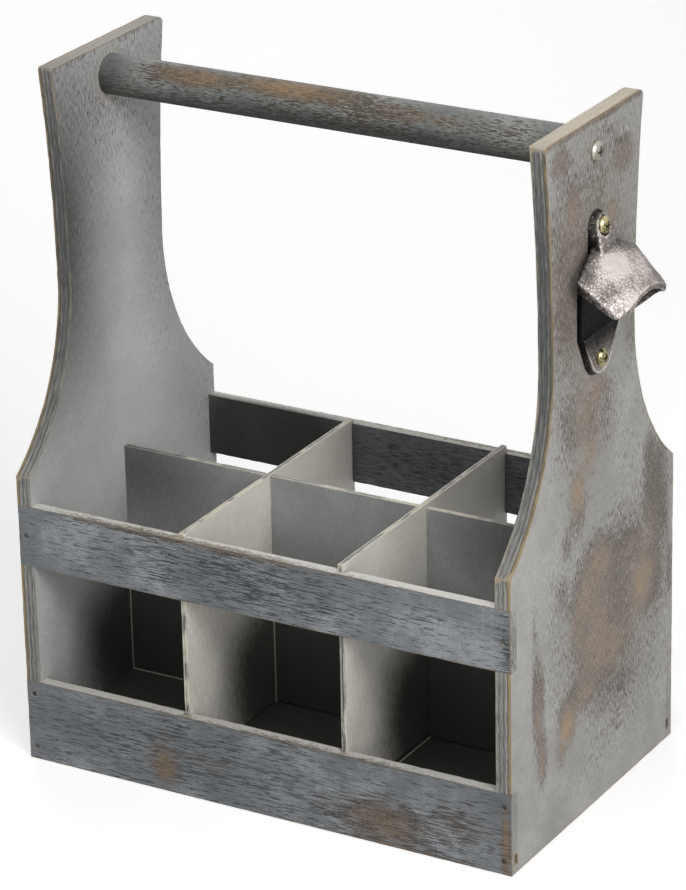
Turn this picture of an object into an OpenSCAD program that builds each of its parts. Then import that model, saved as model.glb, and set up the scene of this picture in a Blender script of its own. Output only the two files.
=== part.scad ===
// Wooden bottle carrier with six cells, a rod handle and a cast bottle opener.
// X runs along the carrier towards the opener, Y from front to back, Z up.
// The origin is on the ground, in the middle of the base board.

/* [Carrier] */
// Length over the two end panels
carrier_l = 270; // [240:5:320]
// Depth over the front and back slats
carrier_d = 170; // [156:2:190]

/* [End panels] */
// Height of the end panels
panel_h = 348; // [335:1:380]
// Thickness of the end panels
panel_t = 8; // [6.5:0.5:12]
// Width of the end panels at the top edge
panel_top_w = 99; // [94:1:112]
// Width of the end panels at the waist
waist_w = 83; // [74:1:90]
// Height of the waist above the ground
waist_z = 238; // [225:1:260]
// Height of the shoulders above the upper slats
shoulder_rise = 15; // [8:1:24]
// Radius of the back corner at the top
back_corner_r = 5; // [2:0.5:8]
// Radius of the front corner at the top
front_corner_r = 1.5; // [0.5:0.5:4]

/* [Slats] */
// Thickness of the slats
slat_t = 6; // [5:0.5:9]
// Height of the lower slats
lower_slat_h = 42.5; // [36:0.5:56]
// Height of the upper slats
upper_slat_h = 32; // [26:1:40]
// Height of the open window between a lower and an upper slat
window_h = 62; // [50:1:70]

/* [Base board] */
// Thickness of the base board
base_t = 15; // [12:0.5:20]
// Thickness of the tongues along its long edges
tongue_t = 5; // [3:0.5:7]
// Depth of the grooves for the tongues and for the cross dividers
groove_depth = 3; // [2:0.5:4]
// Clearance at the bottom of each groove
groove_clearance = 0.3; // [0.1:0.1:0.6]

/* [Dividers] */
// Thickness of the dividers
divider_t = 3; // [2:0.5:5]
// Height of the dividers' top edges above the upper slats
divider_rise = 1.5; // [0:0.5:5]
// Gap left under the dividers
divider_gap = 0.5; // [0.5:0.5:4]
// Distance between the two cross dividers, middle to middle
cross_spacing = 87.5; // [80:0.5:92]
// Extra height at which the right cross divider has stuck in its grooves
right_divider_lift = 2; // [0:0.5:4]
// Clearance across the half-lap slots and the dividers' grooves
slot_clearance = 0.3; // [0.1:0.1:0.6]

/* [Handle] */
// Diameter of the handle rod
rod_d = 20; // [16:1:24]
// Distance from the top edge of the end panels down to the rod's axis
rod_drop = 16; // [14:1:30]

/* [Fasteners] */
// Diameter of the handle screws' heads
handle_head_d = 10; // [8:0.5:12]
// Diameter of the handle screws' shanks
handle_shank_d = 4; // [3:0.5:5]
// Depth to which the handle screws enter the rod
handle_bite = 27; // [20:1:40]
// Diameter of the opener screws' heads
opener_head_d = 9; // [7.5:0.5:10]
// Diameter of the opener screws' shanks
opener_shank_d = 3.5; // [3:0.5:4.5]
// Wood left between an opener screw's tip and the panel's inner face
screw_tip_cover = 1; // [0.5:0.5:3]
// Diameter of the brads' heads
brad_head_d = 2.8; // [2:0.2:3.6]
// Diameter of the brads' shanks
brad_shank_d = 1.6; // [1.2:0.1:1.8]
// Length of the brads
brad_l = 20; // [16:1:28]
// Distance from a lower slat's edges to its brads
brad_inset = 7; // [5:0.5:10]
// Depth of the brads' heads below the slat's face
brad_sink = 0.3; // [0.1:0.1:0.8]
// Clearance between a shank or head and its hole, on the diameter
hole_clearance = 0.1; // [0.05:0.05:0.3]

/* [Bottle opener] */
// Distance from the top edge of the panel down to the opener
opener_drop = 44; // [32:1:60]
// Height of the opener
opener_h = 81; // [78:0.5:90]
// Thickness of its lug and chin against the panel
casting_t = 4; // [3:0.5:5]
// Width of the upper lug
lug_w = 15.5; // [14:0.5:20]
// Width of the chin at its top edge
chin_w = 37; // [32:1:42]
// Height of the chin
chin_h = 24; // [20:0.5:26]
// Radius of the chin's round bottom
chin_r = 12.5; // [10:0.5:13]
// Distance from the opener's top down to its upper screw
upper_screw_drop = 7; // [6.5:0.5:9]
// Distance from the opener's bottom up to its lower screw
lower_screw_z = 9; // [8.5:0.5:12]
// Distance from the opener's top down to the hood's ridge
hood_drop = 15; // [14:1:20]
// Width of the hood over its wings
hood_w = 58.5; // [54:0.5:62]
// Width of the hood's lip
lip_w = 51; // [46:1:54]
// Reach of the hood from the panel's face
hood_reach = 27.5; // [26:0.5:30]
// Angle at which the hood slopes down
hood_angle = 36; // [33:1:38]
// Fall of the hood from its ridge to its wings
hood_sag = 7.5; // [5:0.5:8.5]
// Fall of the hood from its ridge to the lip's corners
lip_sag = 10; // [9:0.5:11]
// Distance by which the lip's corners stand back from its middle
lip_bow = 5; // [3:0.5:6]
// Height of the lip at its corners
lip_edge_h = 2; // [1.5:0.5:4]
// Thickness of the hood's shell
hood_wall = 4.5; // [3.5:0.5:5.5]
// Height of the arch in the hood's front edge
lip_arch = 6; // [3:0.5:6.5]

/* [Hidden] */
$fn = 64;
// A large circle gets more sides, so that its chords stay short
BIG_FN = 720;
// A little extra length that takes a cut clear through a face
OVER = 1;
inner_l = carrier_l - 2 * panel_t;
inner_d = carrier_d - 2 * slat_t;
upper_slat_z = lower_slat_h + window_h;
upper_slat_top = upper_slat_z + upper_slat_h;
shoulder_z = upper_slat_top + shoulder_rise;

// Each arc of the panel's side leaves the waist upright and ends at the width it has to reach
function waist_arc_r(rise, run) = (rise * rise + run * run) / (2 * run);
flare_r = waist_arc_r(waist_z - shoulder_z, (carrier_d - waist_w) / 2);
neck_r = waist_arc_r(panel_h - waist_z, (panel_top_w - waist_w) / 2);

divider_z = base_t + divider_gap;
divider_top = upper_slat_top + divider_rise;
divider_h = divider_top - divider_z;
lap_z = divider_z + divider_h / 2;
slot_w = divider_t + slot_clearance;
cross_divider_l = inner_d + 2 * (groove_depth - groove_clearance);
cross_x = cross_spacing / 2;
tongue_z = (base_t - tongue_t) / 2;

rod_z = panel_h - rod_drop;
brad_x = (carrier_l - panel_t) / 2;
lower_brad_heights = [brad_inset, lower_slat_h - brad_inset];
upper_brad_heights = [upper_slat_z + upper_slat_h / 2];
brad_head_t = 0.8;

opener_z = panel_h - opener_drop - opener_h;
lug_r = lug_w / 2;
upper_screw_z = opener_h - upper_screw_drop;
opener_screw_l = casting_t + panel_t - screw_tip_cover;
draft = 1.3;
chin_dish = 0.8;
spot_face = 0.5;
chin_rim = 2.5;
wing_gap = 2;
wing_reach = 5.5;
web_rise = 4;
hood_ridge_z = opener_h - hood_drop;
hood_side_h = hood_wall + 1;
tooth_t = 2.5;
lip_t = 5.5;
cavity_r = hood_reach - lip_t;
slice_t = 0.5;
arch_steps = 16;

// Height of the hood's ridge at a given reach from the panel
function ridge_at(reach) = hood_ridge_z - (reach - wing_gap) * tan(hood_angle);
lip_z = ridge_at(hood_reach - lip_bow) - lip_sag - lip_edge_h;

// Lays a flat outline in the YZ plane and gives it a thickness along X
module upright(x, thickness) {
    translate([x, 0, 0])
        rotate([90, 0, 90])
            linear_extrude(thickness)
                children();
}

// A round bar or hole along X, with one end at x
module rod_x(x, y, z, d, l) {
    translate([x, y, z])
        rotate([0, 90, 0])
            cylinder(d = d, h = l);
}

// A round bar or hole along Y, with its front end at y
module rod_y(x, y, z, d, l) {
    translate([x, y, z])
        rotate([-90, 0, 0])
            cylinder(d = d, h = l);
}

// What is cut off a square corner to leave it round
module corner_waste(y, z, side, r) {
    translate([y, z])
        mirror([side < 0 ? 1 : 0, 0])
            translate([-r, -r])
                difference() {
                    square(r + OVER);
                    circle(r);
                }
}

// The bottle-shaped side of an end panel
module panel_outline() {
    difference() {
        union() {
            translate([-carrier_d / 2, 0])
                square([carrier_d, waist_z]);
            translate([-panel_top_w / 2, waist_z])
                square([panel_top_w, panel_h - waist_z]);
        }
        for (side = [-1, 1]) {
            intersection() {
                translate([side * (waist_w / 2 + flare_r), waist_z])
                    circle(flare_r, $fn = BIG_FN);
                translate([-carrier_d / 2 - OVER, shoulder_z])
                    square([carrier_d + 2 * OVER, waist_z - shoulder_z]);
            }
            intersection() {
                translate([side * (waist_w / 2 + neck_r), waist_z])
                    circle(neck_r, $fn = BIG_FN);
                translate([-panel_top_w / 2 - OVER, waist_z])
                    square([panel_top_w + 2 * OVER, panel_h - waist_z]);
            }
        }
        corner_waste(panel_top_w / 2, panel_h, 1, back_corner_r);
        corner_waste(-panel_top_w / 2, panel_h, -1, front_corner_r);
    }
}

// The slat notches, the screw hole and the brad holes that both panels have
module end_panel(x) {
    difference() {
        upright(x, panel_t)
            panel_outline();
        for (side = [-1, 1]) {
            slat_notch(x, side, 0, lower_slat_h);
            slat_notch(x, side, upper_slat_z, upper_slat_h);
        }
        rod_x(x - OVER, 0, rod_z, handle_shank_d + hole_clearance, panel_t + 2 * OVER);
        for (turn = [0, 1])
            mirror([0, turn, 0])
                brad_holes(concat(lower_brad_heights, upper_brad_heights));
    }
}

module slat_notch(x, side, z, h) {
    below = z > 0 ? 0 : OVER;
    translate([x - OVER, side > 0 ? carrier_d / 2 - slat_t : -carrier_d / 2 - OVER, z - below])
        cube([panel_t + 2 * OVER, slat_t + OVER, h + below]);
}

module left_end_panel() {
    color("#9b9b98")
        end_panel(-carrier_l / 2);
}

module right_end_panel() {
    color("#a5a39e")
        difference() {
            end_panel(inner_l / 2);
            for (z = [lower_screw_z, upper_screw_z])
                rod_x(carrier_l / 2 + casting_t - opener_screw_l, 0, opener_z + z,
                      opener_shank_d + hole_clearance, opener_screw_l);
        }
}

// Brad holes run from the front face of a slat into the edges of both end panels
module brad_holes(heights) {
    for (x = [-brad_x, brad_x], z = heights) {
        rod_y(x, -carrier_d / 2 - OVER, z, brad_head_d + hole_clearance,
              OVER + brad_sink + brad_head_t);
        rod_y(x, -carrier_d / 2, z, brad_shank_d + hole_clearance, brad_sink + brad_l);
    }
}

module brads(heights) {
    color("#5c5b58")
        for (x = [-brad_x, brad_x], z = heights) {
            rod_y(x, -carrier_d / 2 + brad_sink, z, brad_head_d, brad_head_t);
            rod_y(x, -carrier_d / 2 + brad_sink, z, brad_shank_d, brad_l);
        }
}

// A front slat with the upright grooves that hold the cross dividers
module slat(z, h, heights) {
    color("#707274")
        difference() {
            translate([-carrier_l / 2, -carrier_d / 2, z])
                cube([carrier_l, slat_t, h]);
            for (x = [-cross_x, cross_x])
                translate([x - slot_w / 2, -inner_d / 2 - groove_depth, z - OVER])
                    cube([slot_w, groove_depth + OVER, h + 2 * OVER]);
            brad_holes(heights);
        }
}

// A lower slat also has the groove of the base board, sawn through to both ends
module lower_slat() {
    difference() {
        slat(0, lower_slat_h, lower_brad_heights);
        translate([-carrier_l / 2 - OVER, -inner_d / 2 - groove_depth, tongue_z])
            cube([carrier_l + 2 * OVER, groove_depth + OVER, tongue_t]);
    }
}

module upper_slat() {
    slat(upper_slat_z, upper_slat_h, upper_brad_heights);
}

module front_lower_slat() {
    lower_slat();
}

module front_upper_slat() {
    upper_slat();
}

module back_lower_slat() {
    mirror([0, 1, 0])
        lower_slat();
}

module back_upper_slat() {
    mirror([0, 1, 0])
        upper_slat();
}

// The board fills the bottom and is held by a tongue along each long edge
module base_board() {
    color("#5d605f") {
        translate([-inner_l / 2, -inner_d / 2, 0])
            cube([inner_l, inner_d, base_t]);
        translate([-inner_l / 2, -cross_divider_l / 2, tongue_z])
            cube([inner_l, cross_divider_l, tongue_t]);
    }
}

// The long divider is slotted from above, half its height at each crossing
module long_divider() {
    color("#63676a")
        difference() {
            translate([-inner_l / 2, -divider_t / 2, divider_z])
                cube([inner_l, divider_t, divider_h]);
            for (x = [-cross_x, cross_x])
                translate([x - slot_w / 2, -divider_t, lap_z])
                    cube([slot_w, 2 * divider_t, divider_h]);
        }
}

// A cross divider is slotted from below and stands in the slats' grooves
module cross_divider(x, lift) {
    color("#6b6e6d")
        translate([x - divider_t / 2, 0, lift])
            difference() {
                translate([0, -cross_divider_l / 2, divider_z])
                    cube([divider_t, cross_divider_l, divider_h]);
                translate([-OVER, -slot_w / 2, lap_z - divider_h])
                    cube([divider_t + 2 * OVER, slot_w, divider_h]);
            }
}

module cross_divider_left() {
    cross_divider(-cross_x, 0);
}

module cross_divider_right() {
    cross_divider(cross_x, right_divider_lift);
}

// The rod butts against both panels and takes a screw in each end
module handle_rod() {
    color("#5a5f5c")
        difference() {
            rod_x(-inner_l / 2, 0, rod_z, rod_d, inner_l);
            for (x = [-inner_l / 2 - OVER, inner_l / 2 - handle_bite])
                rod_x(x, 0, rod_z, handle_shank_d + hole_clearance, handle_bite + OVER);
        }
}

// A pan-head screw whose head sits on the plane x = 0 and whose shank runs to -X
module pan_screw(head_d, shank_d, l) {
    head_h = head_d * 0.3;
    flat_r = head_d * 0.22;
    slot_l = head_d * 0.52;
    slot_t = head_d * 0.11;
    difference() {
        rotate([0, 90, 0])
            rotate_extrude()
                union() {
                    square([head_d / 2, head_h * 0.35]);
                    polygon([[0, 0], [head_d / 2, head_h * 0.35], [head_d * 0.42, head_h * 0.75],
                             [flat_r, head_h], [0, head_h]]);
                }
        for (turn = [0, 90])
            rotate([turn, 0, 0])
                translate([head_h * 0.35, -slot_l / 2, -slot_t / 2])
                    cube([head_h, slot_l, slot_t]);
    }
    rod_x(-l, 0, 0, shank_d, l);
}

module handle_screw_left() {
    color("#8d8a80")
        mirror([1, 0, 0])
            translate([carrier_l / 2, 0, rod_z])
                pan_screw(handle_head_d, handle_shank_d, panel_t + handle_bite);
}

module handle_screw_right() {
    color("#8d8a80")
        translate([carrier_l / 2, 0, rod_z])
            pan_screw(handle_head_d, handle_shank_d, panel_t + handle_bite);
}

// A thin upright slice of the hood: a low arch on top, with straight sides and a level foot
module hood_slice(reach, half_w, sag, foot_z, shell = 0) {
    ridge_z = ridge_at(reach) - shell;
    arch = [for (i = [0 : arch_steps])
                let (u = 1 - 2 * i / arch_steps)
                [u * half_w, ridge_z - sag * u * u]];
    upright(reach, slice_t)
        polygon(concat(arch, [[-half_w, foot_z], [half_w, foot_z]]));
}

// The lip's arch is part of a parabola, so a narrower slice of it falls less
function lip_fall(half_w) = lip_sag * pow(2 * half_w / lip_w, 2);

// The hood springs from the neck, spreads to its wings, slopes down and ends in a bowed lip
module hood_shell() {
    wing_foot_z = ridge_at(wing_reach) - hood_sag - hood_side_h;
    wing_inside = hood_w / 2 - hood_wall;
    lip_inside = lip_w / 2 - hood_wall - 1;
    difference() {
        hull() {
            hood_slice(wing_gap, lug_r, 0.5, wing_foot_z);
            hood_slice(wing_reach, hood_w / 2, hood_sag, wing_foot_z);
            for (turn = [0 : 30 : 90]) {
                half_w = lip_w * (1 + cos(turn)) / 4;
                hood_slice(hood_reach - slice_t - lip_bow * (1 - sin(turn)), half_w,
                           lip_fall(half_w), lip_z);
            }
        }
        hull() {
            hood_slice(wing_gap - slice_t, wing_inside, hood_sag, lip_z - hood_side_h, hood_wall);
            hood_slice(cavity_r - slice_t, lip_inside, lip_fall(lip_inside), lip_z - hood_side_h,
                       hood_wall);
        }
        lip_arch_cut();
    }
}

// The front edge of the lip rises in a low arch across the middle of its width
module lip_arch_cut() {
    r = waist_arc_r(lip_w * 0.35, lip_arch);
    rod_x(hood_reach - lip_t / 2, 0, lip_z + lip_arch - r, 2 * r, lip_t);
}

// The straight tooth behind the lip that catches the edge of a crown cap
module lifting_tooth() {
    w = lip_w - 2 * hood_wall - 1;
    translate([cavity_r - OVER / 2, -w / 2, lip_z])
        cube([tooth_t + OVER / 2, w, lip_t]);
}

// The upper lug and the neck that carries the hood
module lug_and_neck() {
    hull() {
        translate([0, 0, opener_h - lug_r])
            rotate([0, 90, 0])
                cylinder(r1 = lug_r, r2 = lug_r - draft, h = casting_t, $fn = 32);
        translate([0, -lug_r, hood_ridge_z - hood_side_h])
            cube([casting_t, lug_w, hood_side_h]);
        translate([casting_t, -lug_r, ridge_at(2 * casting_t) - hood_wall])
            cube([casting_t, lug_w, hood_wall - 1]);
    }
}

// The chin below the mouth, with sloping sides and a dished front
module chin(grow, depth, front) {
    corner_r = 1.5;
    hull() {
        translate([front - depth, 0, chin_r])
            rotate([0, 90, 0])
                cylinder(r1 = chin_r + grow, r2 = chin_r + grow - draft, h = depth, $fn = 32);
        for (side = [-1, 1])
            translate([front - depth, side * (chin_w / 2 - corner_r + grow), chin_h - corner_r + grow])
                rotate([0, 90, 0])
                    cylinder(r1 = corner_r, r2 = corner_r / 2, h = depth, $fn = 32);
    }
}

// The web behind the mouth, as wide as the chin, narrowed to the neck behind the hood
module back_web() {
    neck_z = hood_ridge_z - hood_wall;
    wide_z = lip_z + web_rise;
    upright(0, wing_gap + slice_t)
        polygon([[-chin_w / 2, chin_h - draft], [chin_w / 2, chin_h - draft], [chin_w / 2, wide_z],
                 [lug_r, neck_z], [-lug_r, neck_z], [-chin_w / 2, wide_z]]);
}

// One casting: lug, neck, hood, web behind the mouth, and chin
module bottle_opener() {
    color("#8e8c88")
        translate([carrier_l / 2, 0, opener_z])
            difference() {
                union() {
                    hood_shell();
                    lifting_tooth();
                    lug_and_neck();
                    back_web();
                    chin(0, casting_t, casting_t);
                }
                chin(-chin_rim, chin_dish + OVER, casting_t + OVER);
                rod_x(casting_t, 0, upper_screw_z, opener_head_d + 2 * spot_face, opener_head_d);
                for (z = [lower_screw_z, upper_screw_z])
                    rod_x(-OVER, 0, z, opener_shank_d + hole_clearance, casting_t + 2 * OVER);
            }
}

module opener_screw_top() {
    color("#b5a765")
        translate([carrier_l / 2 + casting_t, 0, opener_z + upper_screw_z])
            pan_screw(opener_head_d, opener_shank_d, opener_screw_l);
}

module opener_screw_bottom() {
    color("#b5a765")
        translate([carrier_l / 2 + casting_t - chin_dish, 0, opener_z + lower_screw_z])
            pan_screw(opener_head_d, opener_shank_d, opener_screw_l - chin_dish);
}

module front_lower_brads() {
    brads(lower_brad_heights);
}

module front_upper_brads() {
    brads(upper_brad_heights);
}

module back_lower_brads() {
    mirror([0, 1, 0])
        brads(lower_brad_heights);
}

module back_upper_brads() {
    mirror([0, 1, 0])
        brads(upper_brad_heights);
}

left_end_panel();
right_end_panel();
front_lower_slat();
front_upper_slat();
back_lower_slat();
back_upper_slat();
base_board();
long_divider();
cross_divider_left();
cross_divider_right();
handle_rod();
handle_screw_left();
handle_screw_right();
bottle_opener();
opener_screw_top();
opener_screw_bottom();
front_lower_brads();
front_upper_brads();
back_lower_brads();
back_upper_brads();
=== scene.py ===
"""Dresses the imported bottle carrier: worn grey paint on plywood, a cast opener and its screws."""

import math

import bmesh
import bpy
import numpy as np
from mathutils import Matrix, Vector, bvhtree, noise


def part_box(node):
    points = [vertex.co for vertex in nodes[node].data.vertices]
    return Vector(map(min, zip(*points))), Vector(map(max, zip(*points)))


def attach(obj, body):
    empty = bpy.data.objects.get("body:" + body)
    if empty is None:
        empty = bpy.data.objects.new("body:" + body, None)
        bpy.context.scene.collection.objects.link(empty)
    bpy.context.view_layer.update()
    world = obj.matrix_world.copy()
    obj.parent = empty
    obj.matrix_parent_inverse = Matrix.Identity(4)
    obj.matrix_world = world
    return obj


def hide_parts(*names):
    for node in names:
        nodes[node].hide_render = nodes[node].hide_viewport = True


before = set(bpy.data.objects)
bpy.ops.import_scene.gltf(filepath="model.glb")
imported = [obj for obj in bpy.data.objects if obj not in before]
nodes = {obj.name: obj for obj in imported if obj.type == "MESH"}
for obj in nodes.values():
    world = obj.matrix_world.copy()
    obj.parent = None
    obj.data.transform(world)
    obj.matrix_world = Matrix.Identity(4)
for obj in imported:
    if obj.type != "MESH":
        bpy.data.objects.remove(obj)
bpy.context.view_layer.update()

# Studio. The carrier stands on a white floor in even light from all round. A tall narrow
# lamp on its right shines into the cells, one hangs above its front, and one fills in behind.

CAMERA_AZIMUTH = math.radians(30.37)
CAMERA_ELEVATION = math.radians(22.53)
CAMERA_ROLL = math.radians(-1.27)
CAMERA_PLACE = (0.96845, -1.65458, 0.95709)
CAMERA_LENS_MM = 173.52
FLOOR_SIZE = 6.0
FLOOR_DROP = 0.0002  # keeps the floor clear of the carrier's underside
DAYLIGHT = 0.2
FLOOR_GLOW = 0.4
LAMPS = {
    "side_lamp": {"azimuth": 63, "elevation": 18, "distance": 1.6, "size": (0.45, 1.2), "watts": 9.5},
    "key_lamp": {"azimuth": 50, "elevation": 38, "distance": 1.6, "size": (0.6, 0.6), "watts": 8},
    "top_lamp": {"azimuth": 5, "elevation": 60, "distance": 1.5, "size": (0.9, 0.9), "watts": 7},
    "back_lamp": {"azimuth": 215, "elevation": 35, "distance": 1.8, "size": (1.2, 1.2), "watts": 9},
}


def linear(code):
    """An sRGB hex colour as linear red, green, blue and alpha."""
    parts = [int(code[i:i + 2], 16) / 255 for i in (1, 3, 5)]
    return [c / 12.92 if c <= 0.04045 else ((c + 0.055) / 1.055) ** 2.4 for c in parts] + [1]


def add(tree, kind, inputs=(), stops=(), **settings):
    """Adds a shader node with its settings and links, and gives its first output."""
    node = tree.nodes.new("ShaderNode" + kind)
    for name, value in settings.items():
        setattr(node, name, value)
    for key, value in dict(inputs).items():
        if isinstance(value, bpy.types.NodeSocket):
            tree.links.new(value, node.inputs[key])
        else:
            node.inputs[key].default_value = value
    for i, (place, code) in enumerate(stops):
        spots = node.color_ramp.elements
        stop = spots[i] if i < 2 else spots.new(place)
        stop.position = place
        stop.color = linear(code)
    return node.outputs[0] if node.outputs else node


def from_side(azimuth, elevation):
    """The direction of what stands at that angle: azimuth 0 is in front, 90 on the right."""
    return Vector((math.sin(azimuth) * math.cos(elevation),
                   -math.cos(azimuth) * math.cos(elevation), math.sin(elevation)))


back = from_side(CAMERA_AZIMUTH, CAMERA_ELEVATION)
right = Vector((math.cos(CAMERA_AZIMUTH), math.sin(CAMERA_AZIMUTH), 0))
turn = Matrix((right, back.cross(right), back)).transposed() @ Matrix.Rotation(CAMERA_ROLL, 3, "Z")
camera = bpy.data.objects.new("camera", bpy.data.cameras.new("camera"))
camera.data.lens = CAMERA_LENS_MM
camera.data.sensor_width = 36
camera.data.clip_end = 20
camera.matrix_world = Matrix.Translation(CAMERA_PLACE) @ turn.to_4x4()
bpy.context.collection.objects.link(camera)
bpy.context.scene.camera = camera
bpy.context.scene.view_settings.view_transform = "Standard"

for name, lamp in LAMPS.items():
    light = bpy.data.objects.new(name, bpy.data.lights.new(name, "AREA"))
    light.data.shape = "RECTANGLE"
    light.data.size, light.data.size_y = lamp["size"]
    light.data.energy = lamp["watts"]
    ray = from_side(math.radians(lamp["azimuth"]), math.radians(lamp["elevation"]))
    light.location = ray * lamp["distance"] + Vector((0, 0, 0.15))
    light.rotation_euler = ray.to_track_quat("Z", "Y").to_euler()
    bpy.context.collection.objects.link(light)

world = bpy.data.worlds.new("studio")
bpy.context.scene.world = world
world.use_nodes = True
sky = world.node_tree
sky.nodes.clear()
seen = add(sky, "LightPath")
shown = add(sky, "Math", {0: seen, 1: seen.node.outputs["Is Glossy Ray"]}, operation="MAXIMUM")
shown = add(sky, "Math", {0: shown, 1: seen.node.outputs["Is Transmission Ray"]}, operation="MAXIMUM")
level = add(sky, "MapRange", {"Value": shown, "To Min": DAYLIGHT, "To Max": 1.0})
add(sky, "OutputWorld", {"Surface": add(sky, "Background", {"Color": linear("#ffffff"), "Strength": level})})

bm = bmesh.new()
bmesh.ops.create_grid(bm, x_segments=1, y_segments=1, size=FLOOR_SIZE / 2,
                      matrix=Matrix.Translation((0, 0, -FLOOR_DROP)))
mesh = bpy.data.meshes.new("floor")
bm.to_mesh(mesh)
bm.free()
floor = bpy.data.objects.new("floor", mesh)
bpy.context.collection.objects.link(floor)
card = bpy.data.materials.new("white_studio_floor")
card.use_nodes = True
tree = card.node_tree
tree.nodes.clear()
matt = add(tree, "BsdfDiffuse", {"Color": linear("#e7e7e7")})
glow = add(tree, "Emission", {"Strength": FLOOR_GLOW})
lit = add(tree, "AddShader", {0: matt, 1: glow})
seen = add(tree, "LightPath")
add(tree, "OutputMaterial", {"Surface": add(tree, "MixShader", {0: seen, 1: matt, 2: lit})})
mesh.materials.append(card)

# End panels. Each is sawn from 8 mm plywood to a bottle's outline and notched for the slats.
# The grey paint was rubbed through by hand: brown wood shows in broad patches on the right
# panel, the sawn edges show the plies, and the arrises are worn to bare wood.

# A board's faces are cut into squares of this size, whose corners hold the wear
WEAR_PITCH = 0.004
ARRIS_ROUND = 0.00035
CHIP_DEPTH = 0.0004
CHIPS = (130, 420)  # chips about 8 mm and 2.4 mm long, as noise a metre
HOLE_FACET = 0.001
# Worn places on a face: centre and half widths in mm, and how far the paint is gone
RIGHT_PANEL_RUBS = [
    ((135, -34, 336), (3, 9, 8), 0.75), ((135, -22, 312), (3, 9, 13), 0.8),
    ((135, -28, 296), (3, 9, 16), 0.7), ((135, 28, 322), (3, 12, 9), 0.75),
    ((135, 18, 297), (3, 8, 14), 0.7), ((135, 0, 290), (3, 50, 60), 0.56),
    ((135, -40, 262), (3, 7, 20), 0.5), ((135, 36, 238), (3, 9, 22), 0.55),
    ((135, 2, 214), (3, 14, 9), 0.75), ((135, -10, 204), (3, 9, 14), 0.75),
    ((135, -4, 186), (3, 10, 16), 0.7), ((135, -17, 168), (3, 9, 18), 0.8),
    ((135, -28, 148), (3, 6, 12), 0.5), ((135, 60, 158), (3, 8, 18), 0.6),
    ((135, 60, 128), (3, 10, 20), 0.7), ((135, 36, 121), (3, 26, 9), 0.75),
    ((135, 5, 122), (3, 16, 15), 1.0), ((135, -4, 102), (3, 18, 24), 1.05),
    ((135, -32, 120), (3, 7, 14), 0.5), ((135, 26, 92), (3, 16, 12), 0.7),
    ((135, 54, 98), (3, 16, 18), 0.95), ((135, 10, 76), (3, 24, 13), 1.0),
    ((135, 20, 92), (3, 50, 44), 0.66), ((135, -8, 205), (3, 26, 42), 0.62),
    ((135, -20, 272), (3, 34, 56), 0.64), ((135, 66, 130), (3, 14, 44), 0.62),
    ((135, -10, 66), (3, 14, 10), 0.95), ((135, -28, 56), (3, 8, 12), 1.0),
    ((135, -34, 44), (3, 6, 9), 0.7), ((135, 30, 58), (3, 12, 9), 0.5),
    ((135, -58, 78), (3, 4.5, 22), 0.9), ((135, -54, 48), (3, 4.5, 12), 0.85),
    ((135, -60, 112), (3, 1.6, 18), 0.6), ((135, 81, 105), (3, 3, 26), 0.6),
]
# Places where dark streaks crowd; the long one just in front of the opener, at y -30 and z 285, is the
# opener's painted shadow on the panel
RIGHT_PANEL_STREAKS_AND_SHADOW = [
    ((135, 45, 46), (3, 40, 24), 1.0), ((135, 10, 30), (3, 30, 16), 0.8),
    ((135, 16, 140), (3, 40, 14), 1.0), ((135, 36, 172), (3, 14, 26), 0.8),
    ((135, -38, 115), (3, 10, 26), 0.9), ((135, 0, 290), (3, 50, 60), 1.0),
    ((135, -30, 285), (3, 10, 44), 1.5), ((135, -45, 250), (3, 8, 60), 0.6),
    ((135, -5, 200), (3, 30, 20), 0.8),
]


def merged_copy(node):
    """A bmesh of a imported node, with its loose triangles joined into whole faces."""
    bm = bmesh.new()
    bm.from_mesh(nodes[node].data)
    bmesh.ops.remove_doubles(bm, verts=bm.verts, dist=1e-6)
    bmesh.ops.dissolve_limit(bm, angle_limit=math.radians(1), verts=bm.verts, edges=bm.edges)
    return bm


def link_piece(name, bm, node):
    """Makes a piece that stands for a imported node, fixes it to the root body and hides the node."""
    mesh = bpy.data.meshes.new(name)
    bm.to_mesh(mesh)
    bm.free()
    piece = bpy.data.objects.new(name, mesh)
    bpy.context.collection.objects.link(piece)
    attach(piece, "root")
    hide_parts(node)
    return piece


def worn_places(points, places):
    """How far the paint is gone at each point, from the strongest place that reaches it."""
    worn = np.zeros(len(points))
    for centre, radii, strength in places:
        away = (((points * 1000 - centre) / radii) ** 2).sum(1)
        worn = np.maximum(worn, strength * np.exp(-away / 2))
    return worn


def turned(places):
    """The same places on the opposite side of the carrier, as if it were turned about."""
    return [((-x, -y, z), radii, strength) for (x, y, z), radii, strength in places]


def set_field(mesh, name, values):
    """Stores one number a point, which a material reads by name."""
    field = mesh.attributes.new(name, "FLOAT", "POINT")
    field.data.foreach_set("value", np.asarray(values, np.float32))


def inside(point, boxes):
    """Whether a point lies in one of the boxes, which are pairs of corners."""
    return any(all(low[i] <= point[i] <= high[i] for i in range(3)) for low, high in boxes)


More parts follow.
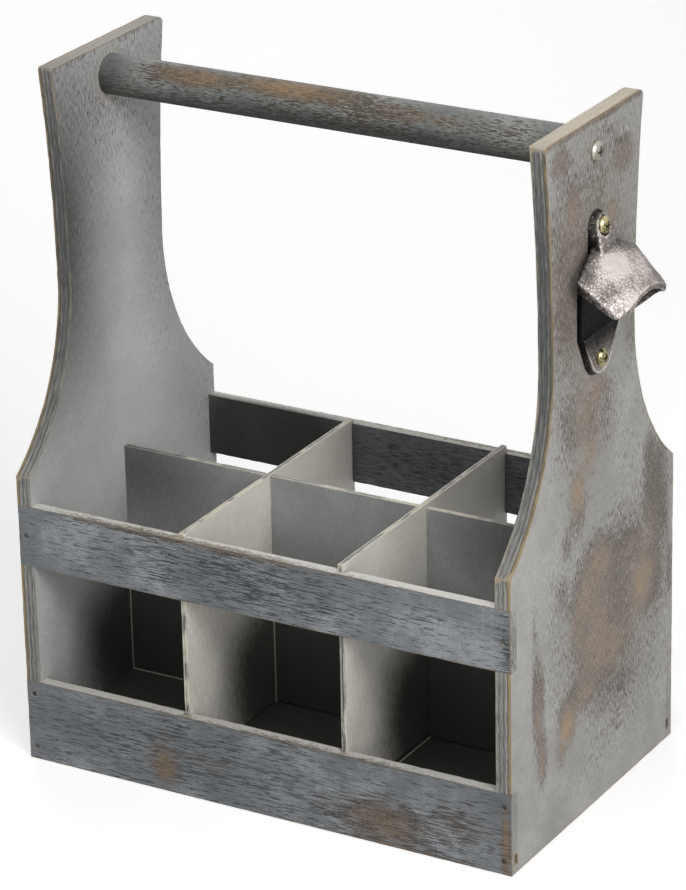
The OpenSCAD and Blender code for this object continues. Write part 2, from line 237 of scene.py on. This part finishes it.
def worn_board(name, node, materials, skin, rubs=(), streaks=(), shades=(), shaded_faces=None,
               joints=(), pitch=WEAR_PITCH):
    """A board with rounded, chipped arrises. skin gives each face's material from its normal and
    its middle. Only the materials in shaded_faces are shaded, or all if there are none. Arrises
    inside the boxes in joints lie against another board and aren't worn."""
    bm = merged_copy(node)
    arrises = [e for e in bm.edges if e.is_manifold and e.calc_face_angle() > math.radians(25)]
    # The rims of the brads' holes keep their paint, and they have only short facets
    lines = np.array([[tuple(v.co) for v in e.verts] for e in arrises if e.calc_length() > HOLE_FACET
                      and not inside((e.verts[0].co + e.verts[1].co) / 2, joints)])
    bmesh.ops.bevel(bm, geom=arrises, offset=ARRIS_ROUND, affect="EDGES", segments=2,
                    profile=0.5, material=-1, clamp_overlap=True)
    low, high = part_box(node)
    for axis in range(3):
        normal = Vector([axis == i for i in range(3)])
        steps = max(1, round((high[axis] - low[axis]) / pitch))
        for i in range(1, steps):
            place = Vector(low)
            place[axis] = low[axis] + (high[axis] - low[axis]) * i / steps
            bmesh.ops.bisect_plane(bm, geom=bm.verts[:] + bm.edges[:] + bm.faces[:], dist=1e-6,
                                   plane_co=place, plane_no=normal)
    for face in bm.faces:
        face.material_index = skin(face.normal, face.calc_center_median())
        face.smooth = True
    bm.normal_update()
    bm.verts.ensure_lookup_table()
    points = np.array([tuple(v.co) for v in bm.verts])
    edge = np.full(len(points), 1.0)
    for a, b in lines:
        along = b - a
        share = np.clip(((points - a) @ along) / max(along @ along, 1e-12), 0, 1)
        edge = np.minimum(edge, np.linalg.norm(points - a - share[:, None] * along, axis=1))
    for vert, gap in zip(bm.verts, edge):
        if gap < ARRIS_ROUND * 2:
            bite = sum(noise.noise(vert.co * chip) * 0.6 for chip in CHIPS)
            vert.co -= vert.normal * CHIP_DEPTH * max(0, bite)
    piece = link_piece(name, bm, node)
    for material in materials:
        piece.data.materials.append(material)
    set_field(piece.data, "edge_mm", edge * 1000)
    set_field(piece.data, "rubbed", worn_places(points, rubs))
    set_field(piece.data, "streaked", worn_places(points, streaks))
    shaded = worn_places(points, shades)
    if shaded_faces:
        reached = {i for f in piece.data.polygons if f.material_index in shaded_faces for i in f.vertices}
        shaded *= np.isin(np.arange(len(points)), list(reached))
    set_field(piece.data, "shaded", shaded)
    flat = piece.modifiers.new("even_shading", "WEIGHTED_NORMAL")
    flat.weight = 80
    return piece


def new_material(name):
    """An empty material, and its tree."""
    material = bpy.data.materials.new(name)
    material.use_nodes = True
    material.node_tree.nodes.clear()
    return material, material.node_tree


def rubbed_paint(name, along, paint, cloudy, dark, pale, fleck_at, bare="#ab9a7c", pores=(250, 2000),
                 woods=("#544a42", "#7c6f63", "#9c8163"), deep="#24231f", ring=None):
    """Matt paint rubbed back along the grain. along is the grain's axis; fleck_at is how high
    the noise has to reach before the dark wood shows through the paint. woods are the bared
    wood's colours from dark to light, bare is the worn arrises' and deep is the colour of the
    painted shade that darkens the paint where the shaded field is high. ring
    is the centre and the radius of a bare ring that the rod's end has rubbed."""
    material, tree = new_material(name)
    place = add(tree, "TexCoord").node.outputs["Object"]
    # pores is how many open pores of the veneer there are a metre, along the grain and across it;
    # between them are fine ones, about 0.35 mm across and 1.5 mm along
    coarse = [pores[0] if axis == along else pores[1] for axis in "xyz"]
    fine = [650 if axis == along else 3000 for axis in "xyz"]
    streak = add(tree, "TexNoise", {"Vector": add(tree, "Mapping", {"Vector": place, "Scale": coarse}),
                                    "Scale": 1.0, "Detail": 3.0, "Roughness": 0.6, "Distortion": 0.2})
    fleck = add(tree, "TexNoise", {"Vector": add(tree, "Mapping", {"Vector": place, "Scale": fine}),
                                   "Scale": 1.0, "Detail": 3.0, "Roughness": 0.65})
    # The paint lies thicker and thinner in clouds about 40 mm wide
    cloud = add(tree, "TexNoise", {"Vector": place, "Scale": 26.0, "Detail": 5.0, "Roughness": 0.6})
    edge = add(tree, "Attribute", attribute_name="edge_mm").node.outputs["Fac"]
    rubbed = add(tree, "Attribute", attribute_name="rubbed").node.outputs["Fac"]
    streaked = add(tree, "Attribute", attribute_name="streaked").node.outputs["Fac"]
    shaded = add(tree, "Attribute", attribute_name="shaded").node.outputs["Fac"]

    grained = add(tree, "Math", {0: fleck, 1: 0.8, 2: cloud}, operation="MULTIPLY_ADD")
    coat = add(tree, "ValToRGB", {"Fac": grained}, stops=[(0.7, cloudy), (1.12, pale), (0.92, paint)])
    # Coarse and fine pores together come to about 1 on average
    grain = add(tree, "Math", {0: streak, 1: 1.7, 2: fleck}, operation="MULTIPLY_ADD")
    grain = add(tree, "Math", {0: grain, 1: -0.35}, operation="ADD")
    # Dark pores crowd together in places and are rare in others
    crowd = add(tree, "Math", {0: cloud, 1: 0.35, 2: grain}, operation="MULTIPLY_ADD")
    shown = add(tree, "Math", {0: streaked, 1: 0.24, 2: crowd}, operation="MULTIPLY_ADD")
    shown = add(tree, "MapRange", {"Value": shown, "From Min": fleck_at, "From Max": fleck_at + 0.2,
                                   "To Max": 0.85}, interpolation_type="SMOOTHSTEP")
    colour = add(tree, "MixRGB", {"Fac": shown, "Color1": coat, "Color2": linear(dark)})

    # The rubbed patches break up along the grain at their rims, and keep specks of paint
    rim = add(tree, "Math", {0: cloud, 1: 0.9, 2: rubbed}, operation="MULTIPLY_ADD")
    rim = add(tree, "Math", {0: grain, 1: 0.9, 2: rim}, operation="MULTIPLY_ADD")
    gone = add(tree, "MapRange", {"Value": rim, "From Min": 1.72, "From Max": 1.92, "To Max": 0.92},
               interpolation_type="SMOOTHSTEP")
    tone = add(tree, "Math", {0: grain, 1: cloud}, operation="MULTIPLY")
    tone = add(tree, "Math", {0: rubbed, 1: -0.3, 2: tone}, operation="MULTIPLY_ADD")
    wood = add(tree, "ValToRGB", {"Fac": tone},
               stops=[(0.1, woods[2]), (0.48, woods[0]), (0.27, woods[1])])
    speck = add(tree, "MapRange", {"Value": fleck, "From Min": 0.46, "From Max": 0.36, "To Max": 0.85})
    wood = add(tree, "MixRGB", {"Fac": speck, "Color1": wood, "Color2": linear(paint)})
    colour = add(tree, "MixRGB", {"Fac": gone, "Color1": colour, "Color2": wood})

    # Handling wears the arrises first, more in some places than in others
    reach = add(tree, "MapRange", {"Value": cloud, "From Min": 0.35, "From Max": 0.65,
                                   "To Min": 0.1, "To Max": 1.5})
    worn = add(tree, "Math", {0: edge, 1: reach}, operation="DIVIDE")
    worn = add(tree, "Math", {0: fleck, 1: 0.9, 2: worn}, operation="MULTIPLY_ADD")
    worn = add(tree, "MapRange", {"Value": worn, "From Min": 0.6, "From Max": 1.2, "To Min": 0.85,
                                  "To Max": 0.0}, interpolation_type="SMOOTHSTEP")
    arris = add(tree, "ValToRGB", {"Fac": streak}, stops=[(0.35, woods[0]), (0.52, bare)])
    colour = add(tree, "MixRGB", {"Fac": worn, "Color1": colour, "Color2": arris})

    if ring:
        away = add(tree, "VectorMath", {0: place, 1: ring[0]}, operation="DISTANCE").node.outputs["Value"]
        away = add(tree, "Math", {0: fleck, 1: 0.0016, 2: away}, operation="MULTIPLY_ADD")
        near = add(tree, "Math", {0: away, 1: ring[1] + 0.0008, 2: 0.0009}, operation="COMPARE")
        soft = add(tree, "Math", {0: near, 1: 0.7}, operation="MULTIPLY")
        colour = add(tree, "MixRGB", {"Fac": soft, "Color1": colour, "Color2": linear(bare)})

    # Painted shade: the colour darkens towards deep where the shaded field is high, most inside the cells
    painted_shade = add(tree, "Math", {0: grain, 1: 0.3, 2: shaded}, operation="MULTIPLY_ADD")
    painted_shade = add(tree, "MapRange", {"Value": painted_shade, "From Min": 0.4, "From Max": 1.15, "To Max": 0.93})
    colour = add(tree, "MixRGB", {"Fac": painted_shade, "Color1": colour, "Color2": linear(deep)})

    height = add(tree, "Math", {0: shown, 1: -0.7, 2: fleck}, operation="MULTIPLY_ADD")
    height = add(tree, "Math", {0: gone, 1: -0.4, 2: height}, operation="MULTIPLY_ADD")
    bump = add(tree, "Bump", {"Height": height, "Strength": 0.6, "Distance": 0.0003})
    dull = add(tree, "MapRange", {"Value": grain, "From Min": 0.7, "From Max": 1.3,
                                  "To Min": 0.56, "To Max": 0.76})
    shader = add(tree, "BsdfPrincipled", {"Base Color": colour, "Roughness": dull, "Normal": bump,
                                          "IOR": 1.48})
    add(tree, "OutputMaterial", {"Surface": shader})
    return material


def sawn_plies(name, axis, middle, thickness, plies, stops, rim="#9d8f77"):
    """The sawn edge of plywood, painted thinly: the plies show as bands across the thickness."""
    material, tree = new_material(name)
    place = add(tree, "TexCoord").node.outputs["Object"]
    across = add(tree, "SeparateXYZ", {"Vector": place}).node.outputs[axis.upper()]
    # The plies waver every 6 mm or so
    wobble = add(tree, "TexNoise", {"Vector": place, "Scale": 160.0, "Detail": 3.0})
    share = add(tree, "MapRange", {"Value": across, "From Min": middle - thickness / 2,
                                   "From Max": middle + thickness / 2})
    share = add(tree, "Math", {0: wobble, 1: 0.09, 2: share}, operation="MULTIPLY_ADD")
    share = add(tree, "Math", {0: share, 1: -0.045}, operation="ADD")
    bands = add(tree, "ValToRGB", {"Fac": share}, stops=stops)
    # The saw's marks and the dirt follow the plies: about 0.5 mm wide and 8 mm long
    drawn = [1900 if side == axis else 130 for side in "xyz"]
    pores = add(tree, "TexNoise", {"Vector": add(tree, "Mapping", {"Vector": place, "Scale": drawn}),
                                   "Scale": 1.0, "Detail": 3.0, "Roughness": 0.7})
    shaded = add(tree, "Attribute", attribute_name="shaded").node.outputs["Fac"]
    # Where the shaded field is high the bands darken to a bluish grey and the dark marks crowd: painted
    # shade in the cells, and the darker upper halves of the panels' edges
    bands = add(tree, "MixRGB", {"Fac": shaded, "Color1": bands, "Color2": linear("#9a9da1")},
                blend_type="MULTIPLY")
    dirt = add(tree, "Math", {0: shaded, 1: 0.14, 2: pores}, operation="MULTIPLY_ADD")
    dirt = add(tree, "MapRange", {"Value": dirt, "From Min": 0.5, "From Max": 0.72, "To Max": 0.9})
    colour = add(tree, "MixRGB", {"Fac": dirt, "Color1": bands, "Color2": linear("#3b3c3b")})
    bared = add(tree, "Attribute", attribute_name="rubbed").node.outputs["Fac"]
    bared = add(tree, "Math", {0: pores, 1: 0.8, 2: bared}, operation="MULTIPLY_ADD")
    bared = add(tree, "MapRange", {"Value": bared, "From Min": 0.8, "From Max": 1.3, "To Max": 0.9})
    colour = add(tree, "MixRGB", {"Fac": bared, "Color1": colour, "Color2": linear("#c6bcab")})
    # Wear comes and goes along an arris in stretches of about 25 mm
    cloud = add(tree, "TexNoise", {"Vector": place, "Scale": 40.0, "Detail": 4.0})
    edge = add(tree, "Attribute", attribute_name="edge_mm").node.outputs["Fac"]
    reach = add(tree, "MapRange", {"Value": cloud, "From Min": 0.42, "From Max": 0.66,
                                   "To Min": 0.05, "To Max": 1.3})
    worn = add(tree, "Math", {0: edge, 1: reach}, operation="DIVIDE")
    worn = add(tree, "Math", {0: pores, 1: 1.2, 2: worn}, operation="MULTIPLY_ADD")
    worn = add(tree, "MapRange", {"Value": worn, "From Min": 0.9, "From Max": 1.6, "To Min": 0.85,
                                  "To Max": 0.0}, interpolation_type="SMOOTHSTEP")
    colour = add(tree, "MixRGB", {"Fac": worn, "Color1": colour, "Color2": linear(rim)})
    steps = add(tree, "Math", {0: share, 1: plies * 2 * math.pi}, operation="MULTIPLY")
    steps = add(tree, "Math", {0: steps}, operation="SINE")
    height = add(tree, "Math", {0: pores, 1: 1.5, 2: steps}, operation="MULTIPLY_ADD")
    bump = add(tree, "Bump", {"Height": height, "Strength": 0.4, "Distance": 0.00015})
    shader = add(tree, "BsdfPrincipled", {"Base Color": colour, "Roughness": 0.75, "Normal": bump,
                                          "IOR": 1.48})
    add(tree, "OutputMaterial", {"Surface": shader})
    return material


outer_paint = rubbed_paint("rubbed_light_grey_paint", "z", "#9e9d99", "#918f8b", "#554f49", "#abaaa6",
                           1.42, bare="#b3986c")
inner_paint = rubbed_paint("rubbed_mid_grey_paint", "z", "#b8b8b6", "#aeafaf", "#58595b", "#bfbfbf", 1.48,
                           bare="#a8a091", ring=((-0.127, 0, 0.332), 0.0125))
PANEL_BANDS = [(0.0, "#a09c94"), (1.0, "#a88f62"), (0.18, "#9c9b97"), (0.26, "#6f6e6b"),
               (0.34, "#9a9995"), (0.46, "#9b9a96"), (0.52, "#626160"), (0.6, "#969591"),
               (0.72, "#aba79e"), (0.8, "#6f6b64"), (0.88, "#a59068")]
# The upper halves of the edges are darker
EDGE_DARKENING = [((0, -60, 262), (400, 40, 72), 1.0), ((0, 60, 262), (400, 40, 72), 0.5)]
# The panels' top edges are worn, and their sawn plies are paled as painted highlight from above
TOP_WEAR_AND_HIGHLIGHT = [((135, 0, 350), (300, 90, 4), 1.0)]
# Painted shade: the cells are darkened most low down, behind the middle of the carrier
CELL_SHADE = [((0, 4, 34), (400, 46, 40), 1.15), ((0, -40, 56), (400, 60, 44), 0.4)]
LEFT_PANEL_RUBS = [((-127, 0, 322), (3, 40, 14), 0.4), ((-127, 30, 250), (3, 10, 40), 0.35)]
LEFT_PANEL_STREAKS = [((-127, 0, 325), (3, 70, 36), 1.4), ((-127, 46, 250), (3, 14, 70), 1.0),
                      ((-127, 78, 150), (3, 12, 26), 1.0)]
# Where the slats are let in, the panels' arrises are covered and aren't worn
SLATS = ("front_lower_slat", "front_upper_slat", "back_lower_slat", "back_upper_slat")
JOINT_REACH = Vector((0.0003, 0.0003, 0.0003))
let_in = [(low - JOINT_REACH, high + JOINT_REACH) for low, high in map(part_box, SLATS)]
for side, name in ((-1, "left_end_panel"), (1, "right_end_panel")):
    low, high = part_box(name)
    bands = PANEL_BANDS if side > 0 else sorted((1 - place, code) for place, code in PANEL_BANDS)
    plies = sawn_plies(name + "_sawn_plies", "x", (low.x + high.x) / 2, high.x - low.x, 5, bands)
    worn_board(
        name.replace("end_panel", "plywood_end"), name,
        [outer_paint, inner_paint, plies],
        lambda normal, middle, side=side: 2 if abs(normal.x) < 0.5 else 0 if normal.x * side > 0 else 1,
        rubs=RIGHT_PANEL_RUBS + LEFT_PANEL_RUBS + turned(RIGHT_PANEL_RUBS) + TOP_WEAR_AND_HIGHLIGHT,
        streaks=RIGHT_PANEL_STREAKS_AND_SHADOW + LEFT_PANEL_STREAKS + turned(RIGHT_PANEL_STREAKS_AND_SHADOW),
        shades=CELL_SHADE + EDGE_DARKENING, shaded_faces=(1, 2), joints=let_in)

# Base board. A plain painted board between the end panels; a tongue along each long edge
# sits in the lower slats. Its paint is darker than the rest: painted shade, as little light reaches it.

floor_paint = rubbed_paint("painted_floor_board", "x", "#3a3b38", "#31322f", "#232422", "#464744", 1.36)
worn_board("floor_board", "base_board", [floor_paint], lambda normal, middle: 0,
           shades=CELL_SHADE, pitch=0.008)

# Slats. Four thin boards are let into the panels' edges and fixed with brads. Their blue-grey
# paint is scraped along the grain until dark wood shows. Their top edges are pale, and made
# paler still as painted highlight from above.

SLAT_WEAR_PITCH = 0.003
SLAT_STREAKS = [((-10, -85, 122), (66, 9, 14), 1.45), ((-40, -85, 20), (76, 9, 18), 1.15),
                ((20, -85, 8), (90, 9, 9), 0.9), ((135, -85, 118), (5, 9, 14), 1.6),
                ((90, -85, 24), (60, 9, 20), 0.5)]
SLAT_RUBS = [((-20, -85, 136), (90, 3, 2), 0.75), ((25, -85, 42), (90, 3, 1.2), 0.6),
             ((66, -85, 12), (26, 3, 12), 0.72), ((-56, -85, 14), (9, 3, 13), 0.72),
             ((-30, -85, 20), (16, 3, 6), 0.5), ((110, -85, 20), (22, 3, 12), 0.5),
             ((132, -85, 16), (2.5, 3, 20), 0.9), ((80, -85, 1), (50, 3, 1.6), 0.8)]
# Painted shade on the back slats' inner faces, strongest at the left
BACK_SHADE = [((0, 79, 100), (400, 3, 60), 0.5), ((-90, 79, 116), (44, 3, 30), 1.2)]
slat_paint = rubbed_paint("scraped_blue_grey_paint", "x", "#7a7e81", "#676b6f", "#222428", "#989ca0", 1.39,
                          bare="#857866", pores=(140, 1900), woods=("#463e37", "#715f4e", "#957548"))
# The top edges' paint is pale, and brightened further as a painted highlight from above
pale_top_paint_and_highlight = rubbed_paint("pale_top_edge", "x", "#cfcdc6", "#c6c4be", "#98958e", "#d6d4cc", 1.85,
                         bare="#b5aa96")
# The slats' arrises that lie against a panel, all but the outermost 1 mm, aren't worn either
INSET = Vector((-0.001, 0.001, 0))
PANELS = ("left_end_panel", "right_end_panel")
panel_boxes = [(low + INSET, high - INSET) for low, high in map(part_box, PANELS)]
for name in SLATS:
    worn_board(
        name.replace("slat", "board"), name, [slat_paint, pale_top_paint_and_highlight, outer_paint],
        lambda normal, middle: 2 if abs(normal.x) > 0.5 and abs(middle.x) > 0.13
        else 1 if normal.z > 0.5 else 0,
        rubs=SLAT_RUBS + turned(SLAT_RUBS), streaks=SLAT_STREAKS + turned(SLAT_STREAKS),
        shades=CELL_SHADE + BACK_SHADE, joints=panel_boxes, pitch=SLAT_WEAR_PITCH)

# Dividers. Three smooth 3 mm boards cross in half-lap slots; two of them stand in grooves of
# the slats. Their sawn edges show a dark ply between two pale ones.

# Painted shade on the long divider, high up near both ends in the outer cells
LONG_SHADE = [((-122, 0, 128), (36, 3, 30), 0.75), ((122, 0, 128), (40, 3, 30), 0.95)]
long_paint = rubbed_paint("smooth_grey_paint", "z", "#8f9190", "#868887", "#5e6060", "#999b9a", 1.54,
                          bare="#bcb8ad")
cross_paint = rubbed_paint("smooth_pale_paint", "z", "#dcd8cf", "#d0ccc3", "#9a978f", "#e4e0d7", 1.56,
                           bare="#dad5c8")
DIVIDER_BANDS = [(0.0, "#c9c5b9"), (1.0, "#c4c0b4"), (0.34, "#b3afa5"), (0.44, "#62616a"),
                 (0.56, "#62616a"), (0.66, "#b9b5a9")]
for name, axis in (("long_divider", "y"), ("cross_divider_left", "x"), ("cross_divider_right", "x")):
    low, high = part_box(name)
    across = "xy".index(axis)
    plies = sawn_plies(name + "_sawn_plies", axis, (low[across] + high[across]) / 2,
                       high[across] - low[across], 2, DIVIDER_BANDS, rim="#d2ccbb")
    paint = long_paint if axis == "y" else cross_paint
    worn_board(name.replace("divider", "board"), name, [paint, plies],
               lambda normal, middle, across=across: 0 if abs(normal[across]) > 0.5 else 1,
               shades=CELL_SHADE + (LONG_SHADE if axis == "y" else []))

# Dried glue stands in thin lines at the long divider's foot, up its sides and along the
# right-hand cross divider's foot
GLUE_LINE = 0.0005
GLUE_TOP = 0.09
GLUE_RUN = 0.05
low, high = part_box("long_divider")
cross_low, cross_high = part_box("cross_divider_left")
right_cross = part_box("cross_divider_right")[1].x
front = low.y - GLUE_LINE
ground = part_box("base_board")[1].z
lines = [
    ((low.x, front, ground), (cross_low.x, low.y, ground + GLUE_LINE)),
    ((low.x, front, ground), (low.x + GLUE_LINE, low.y, GLUE_TOP)),
    ((cross_high.x, front, ground), (cross_high.x + GLUE_LINE, low.y, GLUE_TOP)),
    ((right_cross, front - GLUE_RUN, ground), (right_cross + GLUE_LINE, low.y, ground + GLUE_LINE)),
]
bm = bmesh.new()
for start, end in lines:
    span = Vector(end) - Vector(start)
    place = Matrix.Translation((Vector(start) + Vector(end)) / 2) @ Matrix.Diagonal((*span, 1))
    bmesh.ops.create_cube(bm, size=1, matrix=place)
mesh = bpy.data.meshes.new("glue_lines")
bm.to_mesh(mesh)
bm.free()
glue = bpy.data.objects.new("glue_lines", mesh)
bpy.context.collection.objects.link(glue)
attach(glue, "root")
material, tree = new_material("dried_glue")
shader = add(tree, "BsdfPrincipled", {"Base Color": linear("#a3a29a"), "Roughness": 0.5, "IOR": 1.48})
add(tree, "OutputMaterial", {"Surface": shader})
mesh.materials.append(material)

# Handle. A turned rod between the panels, held by one screw through each of them. Hands have
# rubbed the paint off its upper side.

rod_paint = rubbed_paint("rubbed_rod_paint", "x", "#757876", "#5f625f", "#262522", "#8f908a", 1.33,
                         woods=("#3f3325", "#6b553b", "#9c7a4e"))
# The shades are painted shade on the rod's underside and at its left end by the panel
worn_board("turned_rod", "handle_rod", [rod_paint], lambda normal, middle: 0,
           rubs=[((-75, -6, 339), (26, 6, 5), 0.8), ((-20, -4, 340), (34, 6, 6), 0.9),
                 ((40, -6, 337), (50, 7, 5), 0.6), ((0, -3, 333), (120, 12, 6), 0.42)],
           streaks=[((0, -10, 330), (90, 6, 5), 1.3), ((100, -6, 330), (30, 10, 10), 0.6)],
           shades=[((0, -3, 321), (400, 20, 6.5), 0.9), ((-127, 0, 328), (14, 20, 9), 0.9),
                   ((20, -10, 327), (70, 8, 5), 0.75)])


def worn_metal(name, metal, dirt, roughness, scale, bump_height):
    """Metal with uneven sheen, darker where dirt stays. scale is grains a metre; they are drawn
    about 1 mm wide, coarser than real ones, so that they show."""
    material, tree = new_material(name)
    place = add(tree, "TexCoord").node.outputs["Object"]
    grit = add(tree, "TexNoise", {"Vector": place, "Scale": scale, "Detail": 5.0, "Roughness": 0.65})
    cloud = add(tree, "TexNoise", {"Vector": place, "Scale": scale / 9, "Detail": 3.0})
    stain = add(tree, "Math", {0: grit, 1: cloud}, operation="ADD")
    colour = add(tree, "ValToRGB", {"Fac": add(tree, "Math", {0: stain, 1: 0.5}, operation="MULTIPLY")},
                 stops=[(0.4, dirt), (0.56, metal)])
    dull = add(tree, "MapRange", {"Value": grit, "From Min": 0.3, "From Max": 0.7,
                                  "To Min": roughness - 0.08, "To Max": roughness + 0.15})
    bump = add(tree, "Bump", {"Height": grit, "Strength": 0.7, "Distance": bump_height})
    shader = add(tree, "BsdfPrincipled", {"Base Color": colour, "Roughness": dull, "Normal": bump,
                                          "Metallic": 1.0})
    add(tree, "OutputMaterial", {"Surface": shader})
    return material


def dress(node, material):
    """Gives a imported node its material."""
    nodes[node].data.materials.clear()
    nodes[node].data.materials.append(material)


zinc = worn_metal("dulled_zinc_plate", "#b9b5aa", "#6f6a5f", 0.35, 900, 0.00008)
for node in ("handle_screw_left", "handle_screw_right"):
    dress(node, zinc)

# Bottle opener. One rough iron casting, nickel plated to a dull pewter, with soft edges all over.
# Painted shade darkens its recesses, nearly to black in the mouth under the hood; its rubbed
# places and crests are bright, partly wear and partly painted highlight on the faces that look
# up and out. Two yellow zinc-plated screws hold it.

CAST_VOXEL = 0.00045
CAST_SMOOTHING = 7
CAST_LUMPS = ((0.00022, 260), (0.00012, 750))  # height, and lumps a metre
HOLLOW_REACH = 0.018
HOLLOW_RAYS = 48
HOOD_RUBS = [((147, -4, 281), (9, 12, 9), 0.68), ((158, -14, 267), (6, 14, 6), 0.62),
             ((150, 0, 277), (14, 30, 14), 0.38), ((138, 0, 234), (6, 18, 11), 0.42)]
# Painted shadow in the mouth under the hood, where the hood shades the back plate
MOUTH_SHADOW = [((138, 0, 261), (4, 26, 12), 2.2), ((146, 0, 262), (8, 22, 6), 1.2)]


def hollows(bm, wall_x):
    """How closed in each point is by the piece itself and by the panel behind it."""
    tree = bvhtree.BVHTree.FromBMesh(bm)
    turns = [i * math.pi * (3 - math.sqrt(5)) for i in range(HOLLOW_RAYS)]
    rises = [1 - (2 * i + 1) / HOLLOW_RAYS for i in range(HOLLOW_RAYS)]
    rays = [Vector((math.cos(t) * math.sqrt(1 - z * z), math.sin(t) * math.sqrt(1 - z * z), z))
            for t, z in zip(turns, rises)]
    closed = []
    for vert in bm.verts:
        start = vert.co + vert.normal * 0.0003
        open_rays = [ray for ray in rays if ray.dot(vert.normal) > 0.15]
        hits = sum(1 for ray in open_rays
                   if (ray.x < 0 and (wall_x - start.x) / ray.x < HOLLOW_REACH)
                   or tree.ray_cast(start, ray, HOLLOW_REACH)[0] is not None)
        closed.append(hits / len(open_rays))
    return np.array(closed)


def ridges(bm):
    """How far each point stands out from its neighbours, in mm, evened out a little."""
    bulge = [vert.normal.dot(vert.co - sum((e.other_vert(vert).co for e in vert.link_edges), Vector())
                             / len(vert.link_edges)) * 1000 for vert in bm.verts]
    for _ in range(2):
        bulge = [(bulge[vert.index] + sum(bulge[e.other_vert(vert).index] for e in vert.link_edges))
                 / (1 + len(vert.link_edges)) for vert in bm.verts]
    return np.array(bulge)


def casting(name, node, material, rubs):
    """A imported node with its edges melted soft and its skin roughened, as sand leaves iron."""
    rough = bpy.data.objects.new(name + "_rough", bpy.data.meshes.new(name + "_rough"))
    bm = merged_copy(node)
    bm.to_mesh(rough.data)
    bm.free()
    bpy.context.collection.objects.link(rough)
    remesh = rough.modifiers.new("even_faces", "REMESH")
    remesh.voxel_size = CAST_VOXEL
    solved = bpy.context.evaluated_depsgraph_get()
    bm = bmesh.new()
    bm.from_mesh(rough.evaluated_get(solved).to_mesh())
    bpy.data.objects.remove(rough)
    for _ in range(CAST_SMOOTHING):
        bmesh.ops.smooth_vert(bm, verts=bm.verts, factor=0.5, use_axis_x=True, use_axis_y=True,
                              use_axis_z=True)
    bm.normal_update()
    low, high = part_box(node)
    for vert in bm.verts:
        vert.co += vert.normal * sum(lift * noise.noise(vert.co * lumps) for lift, lumps in CAST_LUMPS)
        vert.co = Vector([min(max(vert.co[i], low[i]), high[i]) for i in range(3)])
    for face in bm.faces:
        face.smooth = True
    points = np.array([tuple(v.co) for v in bm.verts])
    # Partly wear, partly painted highlight: the rubs count only on faces that look up and out, and the
    # crests are brightened
    highlight_facing = np.array([max(0.0, v.normal.z * 0.8 + v.normal.x * 0.6) for v in bm.verts])
    bm.verts.index_update()
    # Painted shade: points closed in by the casting and by the panel are darkened, and the mouth under the
    # hood nearly to black
    closed = hollows(bm, low[0]) + worn_places(points, MOUTH_SHADOW)
    crest_wear_and_highlight = np.clip(ridges(bm) / 0.03, 0, 1.2)
    piece = link_piece(name, bm, node)
    piece.data.materials.append(material)
    set_field(piece.data, "rubbed", worn_places(points, rubs) * highlight_facing + 0.3 * crest_wear_and_highlight)
    set_field(piece.data, "hollow_shade", closed)
    return piece


def cast_nickel(name):
    """Nickel on sand-cast iron: bright and grainy where it is handled and, as painted highlight, on crests
    and upward faces; nearly black in recesses as painted shade.
    """
    material, tree = new_material(name)
    place = add(tree, "TexCoord").node.outputs["Object"]
    rubbed = add(tree, "Attribute", attribute_name="rubbed").node.outputs["Fac"]
    hollow_shade = add(tree, "Attribute", attribute_name="hollow_shade").node.outputs["Fac"]
    # Sand grains about 0.7 mm across, in lumps of about 2 mm, and clouds of sheen of about 8 mm
    grit = add(tree, "TexNoise", {"Vector": place, "Scale": 1400.0, "Detail": 3.0, "Roughness": 0.7})
    lumps = add(tree, "TexNoise", {"Vector": place, "Scale": 480.0, "Detail": 2.0})
    cloud = add(tree, "TexNoise", {"Vector": place, "Scale": 130.0, "Detail": 4.0})
    shine = add(tree, "Math", {0: cloud, 1: 0.55, 2: rubbed}, operation="MULTIPLY_ADD")
    shine = add(tree, "Math", {0: grit, 1: 1.4, 2: shine}, operation="MULTIPLY_ADD")
    shine = add(tree, "Math", {0: shine, 1: -0.36}, operation="ADD")
    # Painted shade: closed-in recesses darken nearly to black
    shine = add(tree, "Math", {0: hollow_shade, 1: -0.9, 2: shine}, operation="MULTIPLY_ADD")
    colour = add(tree, "ValToRGB", {"Fac": shine}, stops=[(0.12, "#0b0a0a"), (1.25, "#ddd4ce"),
                                                          (0.42, "#3a3735"), (0.66, "#6b6663"),
                                                          (0.95, "#b0a7a1")])
    dull = add(tree, "MapRange", {"Value": shine, "From Min": 0.5, "From Max": 1.2,
                                  "To Min": 0.58, "To Max": 0.36})
    skin = add(tree, "Math", {0: lumps, 1: 1.2, 2: grit}, operation="MULTIPLY_ADD")
    bump = add(tree, "Bump", {"Height": skin, "Strength": 1.0, "Distance": 0.0003})
    shader = add(tree, "BsdfPrincipled", {"Base Color": colour, "Roughness": dull, "Normal": bump,
                                          "Metallic": 0.85})
    add(tree, "OutputMaterial", {"Surface": shader})
    return material


casting("cast_opener", "bottle_opener", cast_nickel("nickel_plated_cast_iron"),
        HOOD_RUBS)
yellow_zinc = worn_metal("yellow_zinc_plate", "#c9c197", "#6d6843", 0.25, 900, 0.00008)
for node in ("opener_screw_top", "opener_screw_bottom"):
    dress(node, yellow_zinc)

# Brads. Small round-headed nails, driven just below the paint and darkened.

dark_steel = worn_metal("darkened_steel", "#6a6864", "#35332f", 0.5, 1500, 0.00005)
for node in ("front_lower_brads", "front_upper_brads", "back_lower_brads", "back_upper_brads"):
    dress(node, dark_steel)
